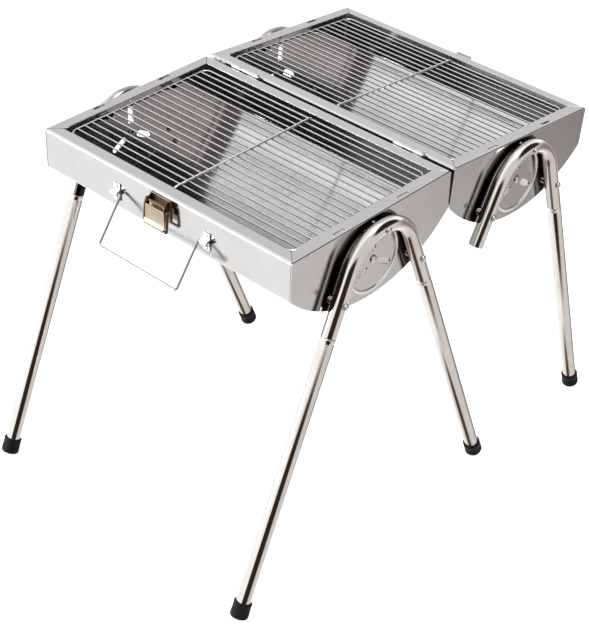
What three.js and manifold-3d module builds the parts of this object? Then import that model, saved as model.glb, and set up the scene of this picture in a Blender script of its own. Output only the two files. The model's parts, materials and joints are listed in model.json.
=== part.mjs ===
// Folding camp grill: two sheet-steel fireboxes hinged along their long rims, opened on splayed tube legs.
// Millimetres, +Z up. X runs along the fireboxes; -Y is the front, with the carry handle and the latch.
import * as THREE from "three";
import { mergeVertices } from "three/addons/utils/BufferGeometryUtils.js";
import Module from "manifold-3d";

// ---- driving dimensions ----
const LENGTH = 350; // one firebox, along X
const WIDTH = 235; // one firebox, across
const WALL = 45; // height of the straight walls
const DEPTH = 94.5; // rim to the lowest point of the curved bottom
const SHEET = 1.2; // sheet thickness
const FLANGE = 14; // inward rim flange
const BEND = 3; // outer radius of the rim bend
const HALF_GAP = 3; // hinge line to the nearest wall
const HINGE_RISE = 0.5; // hinge axis above the rims
const TILT = 2.5; // degrees that each half falls away from the hinge when open
const GAP = 0.3; // clearance between neighbouring pieces

const TUBE_R = 8; // arch and leg tubes, outside
const BORE_R = 6.8; // and inside
const ARCH_R = 50; // centre-line radius of the arch
const ARCH_Z = -59.5; // arch centre below the rim
const STANDOFF = 1.6; // end plate to arch tube
const SPLAY = 22.5; // degrees between a leg and the firebox's upright
const STUB_DROP = 43.5; // arch centre down to the ends of its two limbs
const LIMB_SCREW_DROP = 11; // arch centre down to the screws in the limbs
const OUTER_LEG = 314; // length of a leg under the far edge, without its plug and foot
const PLUG = 25; // swaged end inside the arch
const PLUG_R = 6.3;
const FOOT_R = 10;
const FOOT_HEIGHT = 18;
const FOOT_BASE = 5; // rubber below the tube's end

const VENT_Z = -50.5; // vent centre below the rim
const VENT_R = 38; // shutter
const SLOT_IN = 10; // radial slots, from and to
const SLOT_OUT = 31;
const SLOT_R = 3.5; // half their width
const RIM_SLOT_LENGTH = 16; // slots in the end flanges
const RIM_SLOT_WIDTH = 3;
const RIM_SLOT_INSET = 5; // end of the firebox to the middle of a slot

const BARS = 19; // grate bars
const BAR_R = 1.2;
const FRAME_WIRE = 3;
const GRATE_Z = -5; // middle of the grate below the rim
const GRATE_GAP = 2.5; // flange lip to the grate
const LEDGE_REACH = 22; // end plate to the tip of a grate ledge

const HINGE_X = 117; // hinge middles, either side
const HINGE_LENGTH = 38;
const KNUCKLE_R = 2.5;
const HINGE_PIN_R = 1.3;
const LEAF_DROP = 22;

const HANDLE_X = 56; // handle limbs, either side
const HANDLE_Z = -27; // handle pivot below the rim
const HANDLE_OUT = 3.8; // and out from the wall
const HANDLE_REACH = 55;
const BRACKET_TAB = 10; // a bracket's tabs, up and down from the pivot
const HANDLE_SWING = 35; // degrees out from hanging
const WIRE_R = 1.5; // handle and latch loop

const LATCH_HALF = 14; // half the latch lever's width
const LEVER_Z = -10; // lever pivot below the rim
const LEVER_OUT = 6.5; // and out from the wall
const FACE_OUT = 8.4; // back of the lever's face, out from the wall
const FACE_TOP = LEVER_Z - 4;
const FACE_END = -29.5; // where the face turns out into its lip
const LOOP_Z = -15; // loop pivot
const LOOP_OUT = 7.2;
const LOOP_LENGTH = 21.9; // reaches the keeper's pocket when the grill is shut
const LOOP_LEAN = 4; // degrees out from hanging
const PIN_R = 1.4; // lever pin
const KEEPER_OUT = 6.4; // wall to the keeper's lip

const HALVES = [["front", -1], ["rear", 1]];
const ENDS = [["left", -1], ["right", 1]];
const rad = THREE.MathUtils.degToRad;
const wasm = await Module();
wasm.setup();

// ---- joining and cutting ----
const toSolid = (geometry) => {
  const bare = geometry.clone();
  for (const name of ["normal", "uv"]) bare.deleteAttribute(name);
  const merged = mergeVertices(bare, 1e-4);
  const mesh = new wasm.Mesh({
    numProp: 3,
    vertProperties: merged.attributes.position.array,
    triVerts: new Uint32Array(merged.index.array),
  });
  return new wasm.Manifold(mesh);
};
const toGeometry = (solid) => {
  const { vertProperties, triVerts } = solid.getMesh();
  const geometry = new THREE.BufferGeometry();
  geometry.setAttribute("position", new THREE.BufferAttribute(vertProperties, 3));
  geometry.setIndex(new THREE.BufferAttribute(triVerts, 1));
  return geometry;
};
const join = (...parts) => toGeometry(parts.map(toSolid).reduce((whole, part) => whole.add(part)));
const cut = (body, ...tools) =>
  toGeometry(tools.map(toSolid).reduce((whole, tool) => whole.subtract(tool), toSolid(body)));

// ---- shapes ----
const polygon = (points) => new THREE.Shape(points.map(([x, y]) => new THREE.Vector2(x, y)));
const circle = (radius, x = 0, y = 0) => new THREE.Shape().absarc(x, y, radius, 0, 2 * Math.PI);
const arc = (cx, cy, radius, from, to, steps) =>
  Array.from({ length: steps + 1 }, (_, i) => {
    const angle = from + ((to - from) * i) / steps;
    return [cx + radius * Math.cos(angle), cy + radius * Math.sin(angle)];
  });
const QUARTER = Math.PI / 2;
const roundedBox = (halfX, halfY, radius) =>
  polygon([[1, 1], [-1, 1], [-1, -1], [1, -1]].flatMap(([x, y], i) =>
    arc(x * (halfX - radius), y * (halfY - radius), radius, i * QUARTER, (i + 1) * QUARTER, 3)));
// A slot with round ends, pointing away from the centre at an angle.
const radialSlot = (angle, y, z) => {
  const [c, s] = [Math.cos(angle), Math.sin(angle)];
  const outline = [
    ...arc(SLOT_OUT - SLOT_R, 0, SLOT_R, -Math.PI / 2, Math.PI / 2, 4),
    ...arc(SLOT_IN + SLOT_R, 0, SLOT_R, Math.PI / 2, (3 * Math.PI) / 2, 4),
  ];
  return polygon(outline.map(([a, b]) => [y + a * c - b * s, z + a * s + b * c]));
};
const withHoles = (shape, holes) => {
  shape.holes.push(...holes);
  return shape;
};

// ---- solids ----
const extrude = (shape, depth, curveSegments = 4) =>
  new THREE.ExtrudeGeometry(shape, { depth, bevelEnabled: false, curveSegments });
const alongZ = (shape, z0, z1) => extrude(shape, z1 - z0).translate(0, 0, z0);
// An outline drawn in (Y, Z), extruded along X between two values given in either order.
const toYZ = new THREE.Matrix4().makeBasis(
  new THREE.Vector3(0, 1, 0), new THREE.Vector3(0, 0, 1), new THREE.Vector3(1, 0, 0));
const alongX = (shape, a, b, curveSegments = 4) =>
  extrude(shape, Math.abs(b - a), curveSegments).applyMatrix4(toYZ).translate(Math.min(a, b), 0, 0);
const rodX = (radius, a, b, y, z, sides = 10) =>
  new THREE.CylinderGeometry(radius, radius, Math.abs(b - a), sides).rotateZ(Math.PI / 2)
    .translate((a + b) / 2, y, z);
const rodY = (radius, a, b, x, z, sides = 10) =>
  new THREE.CylinderGeometry(radius, radius, Math.abs(b - a), sides).translate(x, (a + b) / 2, z);
const block = (x0, x1, y0, y1, z0, z1) =>
  new THREE.BoxGeometry(Math.abs(x1 - x0), Math.abs(y1 - y0), Math.abs(z1 - z0))
    .translate((x0 + x1) / 2, (y0 + y1) / 2, (z0 + z1) / 2);
// A profile of [radius, height] pairs, closed on the axis or on itself, turned about Z.
const turned = (profile, sides) =>
  new THREE.LatheGeometry(profile.map(([r, z]) => new THREE.Vector2(r, z)), sides).rotateX(Math.PI / 2);
// curveSegments is half the number of sides that a full circle gets.
const sweep = (section, path, steps, curveSegments) =>
  new THREE.ExtrudeGeometry(section, { extrudePath: path, steps, curveSegments, bevelEnabled: false });
// Straight runs joined by round corners.
const bentWire = (points, bend, steps) => {
  const path = new THREE.CurvePath();
  const stops = points.map((point) => new THREE.Vector3(...point));
  let from = stops[0];
  for (let i = 1; i < stops.length - 1; i++) {
    const before = stops[i].clone().add(stops[i - 1].clone().sub(stops[i]).setLength(bend));
    const after = stops[i].clone().add(stops[i + 1].clone().sub(stops[i]).setLength(bend));
    path.add(new THREE.LineCurve3(from, before));
    path.add(new THREE.QuadraticBezierCurve3(before, stops[i], after));
    from = after;
  }
  path.add(new THREE.LineCurve3(from, stops.at(-1)));
  return sweep(circle(WIRE_R), path, steps, 3);
};

// ---- materials ----
const metal = (color, roughness) => new THREE.MeshStandardMaterial({ color, roughness, metalness: 1 });
const STEEL = metal(0xc9c9cc, 0.3);
const CHROME = metal(0xdedad4, 0.12);
const BRIGHT = metal(0xe6e6e6, 0.2);
const BRONZE = metal(0x4a3420, 0.35);
const BRASS = metal(0xb9a68c, 0.4);
const RUBBER = new THREE.MeshStandardMaterial({ color: 0x151515, roughness: 0.85, metalness: 0 });
const place = (parent, name, geometry, material) => {
  const made = new THREE.Mesh(geometry, material);
  made.name = name;
  parent.add(made);
};

// ---- places in a half's own frame: rim at z = 0, hinge line at y = 0, far wall at side * OUTER ----
const OUTER = HALF_GAP + WIDTH;
const MIDDLE = HALF_GAP + WIDTH / 2;
const END = LENGTH / 2;
const INSIDE_END = END - SHEET - GAP; // first clear plane inside an end plate
const ARCH_X = END + STANDOFF + TUBE_R;
const SAG = DEPTH - WALL;
const BOTTOM_R = (SAG ** 2 + (WIDTH / 2) ** 2) / (2 * SAG);
const BOTTOM_Z = BOTTOM_R - DEPTH; // centre of the bottom's curve
const KNUCKLE = HINGE_LENGTH / 3;
const BRACKET_X = HANDLE_X + 8; // middle of the handle's bracket
const HOLE_R = PIN_R + GAP;

// ---- firebox: one bent sheet ----
// Half of the section from the lowest point out and up to the lip, drawn inset from the outer line.
const troughLine = (inset) => {
  const radius = BOTTOM_R - inset;
  const wall = WIDTH / 2 - inset;
  return [
    ...arc(0, BOTTOM_Z, radius, -Math.PI / 2, Math.asin(wall / radius) - Math.PI / 2, 10),
    ...arc(WIDTH / 2 - BEND, -BEND, BEND - inset, 0, Math.PI / 2, 3),
  ];
};
const mirrored = (points) => points.map(([y, z]) => [-y, z]);
const firebox = (side) => {
  const lip = WIDTH / 2 - FLANGE;
  const outside = [...troughLine(0), [lip, 0]];
  const inside = [...troughLine(SHEET), [lip, -SHEET]];
  const section = [
    ...mirrored(outside).reverse(), ...outside.slice(1), ...inside.toReversed(), ...mirrored(inside).slice(1),
  ];
  const sheet = alongX(polygon(section), -INSIDE_END, INSIDE_END);
  // The long flanges end in mitres that face the end plates' flanges.
  const mitres = [1, -1].flatMap((x) => [1, -1].map((y) => {
    const reach = FLANGE + 2;
    const corner = [[END, WIDTH / 2], [END, WIDTH / 2 - reach], [END - GAP - reach, WIDTH / 2 - reach],
      [END - GAP, WIDTH / 2]];
    return alongZ(polygon(corner.map(([a, b]) => [x * a, y * b])), -SHEET - 0.5, 1);
  }));
  return cut(sheet, ...mitres).translate(0, side * MIDDLE, 0);
};

// ---- end plates with their vents ----
const limbAt = (drop) => {
  const bend = rad(90 - SPLAY);
  const start = ARCH_R * Math.cos(bend); // the limb begins this far above the arch centre
  return ARCH_R * Math.sin(bend) + (start + drop) * Math.tan(rad(SPLAY));
};
const ARCH_BOLTS = [[0, ARCH_Z + ARCH_R], [limbAt(LIMB_SCREW_DROP), ARCH_Z - LIMB_SCREW_DROP],
  [-limbAt(LIMB_SCREW_DROP), ARCH_Z - LIMB_SCREW_DROP]]; // y from the middle, z
const SCREW_R = 2;
const VENT_ANGLES = [90, 210, 330].map(rad);
const endPlate = (side, end) => {
  const line = troughLine(0);
  const outline = polygon([...mirrored(line).reverse(), ...line.slice(1)]);
  const holes = [
    ...VENT_ANGLES.map((angle) => radialSlot(angle, 0, VENT_Z)),
    circle(SCREW_R + GAP, 0, VENT_Z), ...ARCH_BOLTS.map(([y, z]) => circle(SCREW_R + GAP, y, z)),
  ];
  const plate = alongX(withHoles(outline, holes), end * (END - SHEET), end * END);
  const flange = [[END - SHEET / 2, WIDTH / 2 - SHEET], [END - SHEET / 2, SHEET - WIDTH / 2],
    [END - FLANGE, FLANGE + GAP - WIDTH / 2], [END - FLANGE, WIDTH / 2 - FLANGE - GAP]];
  const flangePlate = alongZ(polygon(flange.map(([x, y]) => [end * x, y])), -SHEET, 0);
  const ledgeTop = GRATE_Z - FRAME_WIRE / 2 - GAP;
  const spots = [-0.2 * WIDTH, 0.2 * WIDTH];
  const ledges = spots.map((y) =>
    block(end * (END - SHEET / 2), end * (END - LEDGE_REACH), y - 8, y + 8, ledgeTop - SHEET, ledgeTop));
  const slotX = end * (END - RIM_SLOT_INSET);
  const [halfSlot, halfLength] = [RIM_SLOT_WIDTH / 2, RIM_SLOT_LENGTH / 2];
  const slots = spots.map((y) =>
    block(slotX - halfSlot, slotX + halfSlot, y - halfLength, y + halfLength, -SHEET - 0.5, 0.5));
  return join(plate, cut(flangePlate, ...slots), ...ledges).translate(0, side * MIDDLE, 0);
};
const shutter = (side, end) => {
  const near = END + GAP;
  const disc = withHoles(circle(VENT_R), [
    ...VENT_ANGLES.map((angle) => radialSlot(angle, 0, 0)), circle(SCREW_R + GAP)]);
  const rim = withHoles(circle(VENT_R), [circle(VENT_R - 3)]);
  const plate = alongX(disc, end * near, end * (near + 0.6), 10);
  const raised = alongX(rim, end * (near + 0.3), end * (near + 1), 10);
  return join(plate, raised).translate(0, side * MIDDLE, VENT_Z);
};
// Points a solid made along +Z outwards along X at one end.
const outwards = (geometry, end, x, y, z) => geometry.rotateY((end * Math.PI) / 2).translate(end * x, y, z);
// A domed head above z = 0 on a shank down to -length, with a nut or clench of a given thickness at its end.
const fastened = (head, dome, length, nut, thick, nutSides) => {
  const shaft = turned([[0, -length], [SCREW_R, -length], [SCREW_R, 0], [head, 0], [head * 0.8, dome * 0.7],
    [0, dome]], 10);
  return join(shaft, new THREE.CylinderGeometry(nut, nut, thick, nutSides).rotateX(Math.PI / 2)
    .translate(0, 0, thick / 2 - length));
};
const ventRivet = (side, end) =>
  outwards(fastened(4.5, 1.6, 4.4, 4, 1.2, 10), end, END + 1.3, side * MIDDLE, VENT_Z);

// ---- arches and the bolts that hold them ----
const archPoint = (angle) => new THREE.Vector3(0, ARCH_R * Math.sin(angle), ARCH_R * Math.cos(angle));
class ArchLine extends THREE.Curve {
  constructor() {
    super();
    this.bend = rad(90 - SPLAY);
    this.limb = (ARCH_R * Math.cos(this.bend) + STUB_DROP) / Math.cos(rad(SPLAY));
    this.turn = ARCH_R * this.bend;
  }
  // Distance s from the top, along the arch and then down the straight limb.
  getPoint(t) {
    const s = (2 * t - 1) * (this.turn + this.limb);
    const angle = THREE.MathUtils.clamp(s / ARCH_R, -this.bend, this.bend);
    const past = Math.max(0, Math.abs(s) - this.turn) * Math.sign(s);
    return archPoint(angle).add(new THREE.Vector3(
      0, past * Math.sin(rad(SPLAY)), -Math.abs(past) * Math.cos(rad(SPLAY))));
  }
}
const arch = (side, end) => {
  const bore = polygon(arc(0, 0, BORE_R + 0.2, 0, (7 * Math.PI) / 4, 7));
  const section = withHoles(circle(TUBE_R), [bore]);
  const tube = sweep(section, new ArchLine(), 20, 6).translate(end * ARCH_X, 0, ARCH_Z);
  const holes = ARCH_BOLTS.map(([y, z]) =>
    rodX(SCREW_R + GAP, end * (ARCH_X - TUBE_R - 1), end * (ARCH_X + TUBE_R + 1), y, z));
  return cut(tube, ...holes).translate(0, side * MIDDLE, 0);
};
const HEAD_X = ARCH_X + TUBE_R + GAP;
const NUT = 3;
const archBolt = (side, end, [y, z]) =>
  outwards(fastened(4, 2.6, HEAD_X - INSIDE_END + NUT, 4, NUT, 6), end, HEAD_X, side * MIDDLE + y, z);

// ---- legs ----
// The halves lean, so a leg under the hinge has further to go to the ground than one under the far edge.
const legDrop = (out, length) => {
  const lean = rad(SPLAY - out * TILT); // from the vertical, out = 1 under the far edge
  const y = MIDDLE + out * limbAt(STUB_DROP);
  const stub = (ARCH_Z - STUB_DROP - HINGE_RISE) * Math.cos(rad(TILT)) - y * Math.sin(rad(TILT));
  return { lean, z: stub - (length + FOOT_BASE) * Math.cos(lean) - FOOT_R * Math.sin(lean) };
};
const GROUND = legDrop(1, OUTER_LEG).z; // below the hinge axis
const inner = legDrop(-1, 0);
const INNER_LEG = (inner.z - GROUND) / Math.cos(inner.lean);
// A leg stands along its own axis, with the end of the arch's limb at z = 0 and the foot below.
const legTube = (length) => turned([
  [PLUG_R, PLUG], [PLUG_R - 1, PLUG], [PLUG_R - 1, -2], [BORE_R, -5], [BORE_R, -length], [TUBE_R, -length],
  [TUBE_R, -3], [TUBE_R - 0.4, -GAP], [PLUG_R, -GAP], [PLUG_R, PLUG],
], 12);
const foot = (length) => {
  const bottom = -length - FOOT_BASE;
  const top = bottom + FOOT_HEIGHT;
  const bore = TUBE_R + GAP;
  return turned([[0, bottom], [FOOT_R - 1.5, bottom], [FOOT_R, bottom + 1.5], [FOOT_R - 0.4, top],
    [bore, top], [bore, -length - GAP], [0, -length - GAP]], 12);
};
const asLeg = (geometry, side, end, out) => geometry.rotateX(side * out * rad(SPLAY))
  .translate(end * ARCH_X, side * (MIDDLE + out * limbAt(STUB_DROP)), ARCH_Z - STUB_DROP);

// ---- grate ----
const grate = (side) => {
  const halfX = END - FLANGE - GRATE_GAP;
  const halfY = WIDTH / 2 - FLANGE - GRATE_GAP;
  const corner = 9;
  const frame = withHoles(roundedBox(halfX, halfY, corner),
    [roundedBox(halfX - FRAME_WIRE, halfY - FRAME_WIRE, corner - FRAME_WIRE)]);
  const ring = alongZ(frame, GRATE_Z - FRAME_WIRE / 2, GRATE_Z + FRAME_WIRE / 2);
  const pitch = (2 * halfY - FRAME_WIRE) / (BARS + 1);
  const bars = Array.from({ length: BARS }, (_, i) =>
    rodX(BAR_R, 1 - halfX, halfX - 1, (i - (BARS - 1) / 2) * pitch, GRATE_Z, 6));
  const crossbar = rodY(1.4, 1 - halfY, halfY - 1, 0, GRATE_Z + 2.2, 8);
  return join(ring, ...bars, crossbar).translate(0, side * MIDDLE, 0);
};

// ---- hinges, in the gap between the two near walls ----
const leafFaces = [HALF_GAP - GAP - 1, HALF_GAP - GAP]; // from the hinge line
const hingeLeaf = (side, end) => {
  const x0 = end * HINGE_X - HINGE_LENGTH / 2;
  const spans = side < 0 ? [[0, 1], [2, 3]] : [[1, 2]]; // thirds of the hinge that hold this leaf's knuckles
  const [near, far] = leafFaces.map((face) => side * face);
  const plate = block(x0, x0 + HINGE_LENGTH, near, far, -LEAF_DROP, HINGE_RISE - KNUCKLE_R - 0.6);
  const knuckles = spans.flatMap(([a, b]) => {
    const [from, to] = [x0 + a * KNUCKLE + 0.2, x0 + b * KNUCKLE - 0.2];
    const tab = block(from, to, near, far, -LEAF_DROP / 2, HINGE_RISE);
    return [tab, rodX(KNUCKLE_R, from, to, 0, HINGE_RISE, 12)];
  });
  const bore = rodX(HINGE_PIN_R + GAP, x0 - 1, x0 + HINGE_LENGTH + 1, 0, HINGE_RISE);
  return cut(join(plate, ...knuckles), bore);
};
const hingePin = (end) => {
  const [from, to] = [-1, 1].map((way) => end * HINGE_X + way * (HINGE_LENGTH / 2 + 0.5));
  const heads = [rodX(2, from - 1, from + 0.2, 0, 0), rodX(2, to - 0.2, to + 1, 0, 0)];
  return join(rodX(HINGE_PIN_R, from, to, 0, 0), ...heads);
};

// ---- carry handle, on the front wall ----
const wallY = (out) => -OUTER - out;
const handle = () => {
  const swing = rad(HANDLE_SWING);
  const y = wallY(HANDLE_OUT);
  const tip = [y - HANDLE_REACH * Math.sin(swing), HANDLE_Z - HANDLE_REACH * Math.cos(swing)];
  const end = BRACKET_X + 7;
  return bentWire([[-end, y, HANDLE_Z], [-HANDLE_X, y, HANDLE_Z], [-HANDLE_X, ...tip], [HANDLE_X, ...tip],
    [HANDLE_X, y, HANDLE_Z], [end, y, HANDLE_Z]], 4, 50);
};
const bracket = (end) => {
  const [bore, skin] = [WIRE_R + GAP, WIRE_R + GAP + 1.2];
  const [near, far] = [wallY(GAP), wallY(GAP + SHEET)];
  const [low, high] = [HANDLE_Z - BRACKET_TAB, HANDLE_Z + BRACKET_TAB];
  const saddle = polygon([[near, low], [near, high], [far, high], [far, HANDLE_Z + skin],
    ...arc(wallY(HANDLE_OUT), HANDLE_Z, skin, Math.PI / 2, (3 * Math.PI) / 2, 6),
    [far, HANDLE_Z - skin], [far, low]]);
  const [from, to] = [end * BRACKET_X - 4.5, end * BRACKET_X + 4.5];
  return cut(alongX(saddle, from, to), rodX(bore, from - 1, to + 1, wallY(HANDLE_OUT), HANDLE_Z, 12));
};

// ---- draw latch on the front wall, and its keeper on the rear one ----
const CHEEK = [LATCH_HALF - SHEET, LATCH_HALF];
const EAR = [LATCH_HALF - GAP - 2 * SHEET, LATCH_HALF - GAP - SHEET];
const bothSides = (make) => [make(-1), make(1)];
const pivotHole = (radius, out, z) => rodX(radius, -LATCH_HALF - 2, LATCH_HALF + 2, wallY(out), z, 12);
const latchBase = () => {
  const plate = block(-LATCH_HALF, LATCH_HALF, wallY(GAP), wallY(GAP + SHEET), FACE_END, LEVER_Z + 6);
  const ear = polygon([[wallY(SHEET), LEVER_Z - 6], [wallY(SHEET), LEVER_Z + 6],
    ...arc(wallY(LEVER_OUT), LEVER_Z, 3, Math.PI / 2, (3 * Math.PI) / 2, 4)]);
  const ears = bothSides((way) => alongX(ear, way * EAR[0], way * EAR[1]));
  return cut(join(plate, ...ears), pivotHole(HOLE_R, LEVER_OUT, LEVER_Z));
};
const latchLever = () => {
  const front = FACE_OUT + SHEET;
  const face = polygon([[wallY(FACE_OUT), FACE_TOP], [wallY(front), FACE_TOP], [wallY(front), FACE_END],
    [wallY(front + 3), FACE_END - 4], [wallY(front + 2), FACE_END - 5], [wallY(FACE_OUT), FACE_END - 0.6]]);
  const inner = LOOP_OUT - WIRE_R - 1.7; // the cheek's edge behind the loop's holes
  const boss = arc(wallY(LEVER_OUT), LEVER_Z, 3, Math.PI, 0, 4);
  const cheek = polygon([[wallY(front), FACE_END + 3], [wallY(front), FACE_TOP], ...boss,
    [wallY(inner), FACE_TOP], [wallY(inner), LOOP_Z - 6]]);
  const cheeks = bothSides((way) => alongX(cheek, way * CHEEK[0], way * CHEEK[1]));
  return cut(join(alongX(face, -LATCH_HALF, LATCH_HALF), ...cheeks),
    pivotHole(HOLE_R, LEVER_OUT, LEVER_Z), pivotHole(WIRE_R + GAP, LOOP_OUT, LOOP_Z));
};
// The loop hangs from the lever while the grill is open.
const latchLoop = () => {
  const lean = rad(LOOP_LEAN);
  const limb = CHEEK[1] + GAP + WIRE_R;
  const pivot = [wallY(LOOP_OUT), LOOP_Z];
  const bar = [wallY(LOOP_OUT + LOOP_LENGTH * Math.sin(lean)), LOOP_Z - LOOP_LENGTH * Math.cos(lean)];
  return bentWire([[-CHEEK[0], ...pivot], [-limb, ...pivot], [-limb, ...bar], [limb, ...bar],
    [limb, ...pivot], [CHEEK[0], ...pivot]], WIRE_R, 34);
};
const latchPin = () => rodX(PIN_R, -CHEEK[1] - 0.2, CHEEK[1] + 0.2, wallY(LEVER_OUT), LEVER_Z);
const keeper = () => {
  const y = (out) => OUTER + out;
  const [back, lip, tip] = [GAP + SHEET, KEEPER_OUT, KEEPER_OUT + SHEET];
  const [top, shelf, low, foot] = [-2.8, -4, -8, -19];
  const hook = polygon([[y(GAP), foot], [y(back), foot], [y(back), shelf], [y(lip), shelf], [y(lip), low],
    [y(tip), low], [y(tip), top], [y(GAP), top]]);
  return alongX(hook, -10, 10);
};

// ---- assembly ----
const grill = new THREE.Group();
const hinged = new THREE.Group();
grill.add(hinged);
const halves = {};
for (const [half, side] of HALVES) {
  const tilted = new THREE.Group();
  tilted.rotation.x = -side * rad(TILT);
  hinged.add(tilted);
  const frame = new THREE.Group();
  frame.position.z = -HINGE_RISE;
  tilted.add(frame);
  halves[half] = frame;
  place(frame, `${half}_firebox`, firebox(side), STEEL);
  place(frame, `${half}_grate`, grate(side), BRIGHT);
  for (const [name, end] of ENDS) {
    place(frame, `${half}_${name}_end_plate`, endPlate(side, end), STEEL);
    place(frame, `${half}_${name}_vent_shutter`, shutter(side, end), STEEL);
    place(frame, `${half}_${name}_vent_rivet`, ventRivet(side, end), STEEL);
    place(frame, `${half}_${name}_arch`, arch(side, end), CHROME);
    ["top", "outer", "inner"].forEach((spot, i) => {
      const [y, z] = ARCH_BOLTS[i];
      place(frame, `${half}_${name}_${spot}_arch_bolt`, archBolt(side, end, [side * y, z]), CHROME);
    });
    place(frame, `${name}_hinge_${half}_leaf`, hingeLeaf(side, end), STEEL);
    // The rear half stands on its far legs only: its sockets next to the hinge stay empty.
    for (const [row, out, length] of [["outer", 1, OUTER_LEG], ["inner", -1, INNER_LEG]]) {
      if (half === "rear" && row === "inner") continue;
      place(frame, `${half}_${name}_${row}_leg`, asLeg(legTube(length), side, end, out), CHROME);
      place(frame, `${half}_${name}_${row}_foot`, asLeg(foot(length), side, end, out), RUBBER);
    }
  }
}
for (const [name, end] of ENDS) {
  place(hinged, `${name}_hinge_pin`, hingePin(end), STEEL);
  place(halves.front, `${name}_handle_bracket`, bracket(end), BRIGHT);
}
place(halves.front, "carry_handle", handle(), BRIGHT);
place(halves.front, "latch_base", latchBase(), BRASS);
place(halves.front, "latch_lever", latchLever(), BRASS);
place(halves.front, "latch_loop", latchLoop(), BRONZE);
place(halves.front, "latch_pin", latchPin(), BRONZE);
place(halves.rear, "latch_keeper", keeper(), BRASS);

// The feet stand on z = 0, and the middle of the whole opened grill is at x = y = 0.
const bounds = new THREE.Box3().setFromObject(grill, true);
const centre = bounds.getCenter(new THREE.Vector3());
hinged.position.set(-centre.x, -centre.y, -bounds.min.z);

export default grill;
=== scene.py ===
"""The folding camp grill's looks: finer pieces, procedural finishes, light and camera round its frame."""
import json
import math

import bmesh
import bpy
from mathutils import Matrix, Vector


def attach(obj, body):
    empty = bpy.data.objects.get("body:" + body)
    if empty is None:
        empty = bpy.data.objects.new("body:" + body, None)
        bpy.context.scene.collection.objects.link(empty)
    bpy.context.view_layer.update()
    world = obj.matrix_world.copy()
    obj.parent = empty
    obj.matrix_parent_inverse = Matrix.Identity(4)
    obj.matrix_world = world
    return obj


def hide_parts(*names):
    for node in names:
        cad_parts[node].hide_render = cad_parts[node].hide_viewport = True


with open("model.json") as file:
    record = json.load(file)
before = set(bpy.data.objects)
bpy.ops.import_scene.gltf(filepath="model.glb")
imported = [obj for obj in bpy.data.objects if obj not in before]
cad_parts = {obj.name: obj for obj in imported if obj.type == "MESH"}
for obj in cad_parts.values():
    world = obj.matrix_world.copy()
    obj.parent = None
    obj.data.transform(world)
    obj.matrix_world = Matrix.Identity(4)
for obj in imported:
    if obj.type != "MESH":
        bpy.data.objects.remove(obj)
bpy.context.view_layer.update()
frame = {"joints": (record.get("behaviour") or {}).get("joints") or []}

MM = 0.001

# ---- dimensions in millimetres, as in the CAD ----
LENGTH = 350
WIDTH = 235
WALL = 45
DEPTH = 94.5
SHEET = 1.2
FLANGE = 14
BEND = 3
CREASE = 6  # radius between the walls and the curved bottom
HALF_GAP = 3
HINGE_RISE = 0.5
TILT = 2.5
GAP = 0.3
TUBE_R = 8
BORE_R = 6.8
ARCH_R = 50
ARCH_Z = -59.5
STANDOFF = 1.6
SPLAY = 22.5
STUB_DROP = 43.5
LIMB_SCREW_DROP = 11
PLUG = 25
PLUG_R = 6.3
FOOT_R = 10
FOOT_HEIGHT = 18
FOOT_BASE = 5
OUTER_LEG = 314
VENT_Z = -50.5
VENT_R = 38
VENT_ANGLES = [math.radians(a) for a in (90, 210, 330)]
SLOT_IN, SLOT_OUT, SLOT_R = 10, 31, 3.5
SCREW_R = 2
RIM_SLOT_LENGTH, RIM_SLOT_WIDTH, RIM_SLOT_INSET = 16, 3, 5
BARS = 19
BAR_R = 1.05
FRAME_R = 1.5
GRATE_Z = -5
GRATE_GAP = 2.5
LEDGE_REACH, LEDGE_HALF, LEDGE_DROP, LEDGE_CORNER = 22, 8, 12, 3
HINGE_X, HINGE_LENGTH, KNUCKLE_R, HINGE_PIN_R, LEAF_DROP = 117, 38, 2.5, 1.3, 22
HANDLE_X, HANDLE_Z, HANDLE_OUT, HANDLE_REACH, HANDLE_SWING = 56, -27, 3.8, 55, 35
BRACKET_X, BRACKET_HALF, BRACKET_TAB = 64, 4.5, 10
WIRE_R = 1.5
LATCH_HALF, LEVER_Z, LEVER_OUT, FACE_OUT, FACE_END = 14, -10, 6.5, 8.4, -29.5
LOOP_Z, LOOP_OUT, LOOP_LENGTH, LOOP_LEAN = -15, 7.2, 21.9, 4
PIN_R = 1.4
KEEPER_OUT = 6.4

RIM_SPOTS = (-0.2 * WIDTH, 0.2 * WIDTH)  # where the rim slots and the ledges sit across a half
OUTER = HALF_GAP + WIDTH
MIDDLE = HALF_GAP + WIDTH / 2
END = LENGTH / 2
INSIDE_END = END - SHEET - GAP
ARCH_X = END + STANDOFF + TUBE_R
SAG = DEPTH - WALL
BOTTOM_R = (SAG ** 2 + (WIDTH / 2) ** 2) / (2 * SAG)
BOTTOM_Z = BOTTOM_R - DEPTH
CREASE_Y = WIDTH / 2 - CREASE
CREASE_Z = BOTTOM_Z - math.sqrt((BOTTOM_R - CREASE) ** 2 - CREASE_Y ** 2)
HALVES = [("front", -1), ("rear", 1)]
ENDS = [("left", -1), ("right", 1)]

# ---- frames of reference ----
AXIS = Vector(next(j for j in frame["joints"] if j["name"] == "fold")["pos_m"])
HINGED = Matrix.Translation(AXIS) @ Matrix.Scale(MM, 4)
HALF_FRAME = {
    half: Matrix.Translation(AXIS) @ Matrix.Rotation(math.radians(-side * TILT), 4, "X")
    @ Matrix.Scale(MM, 4) @ Matrix.Translation((0, 0, -HINGE_RISE))
    for half, side in HALVES
}
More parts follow.
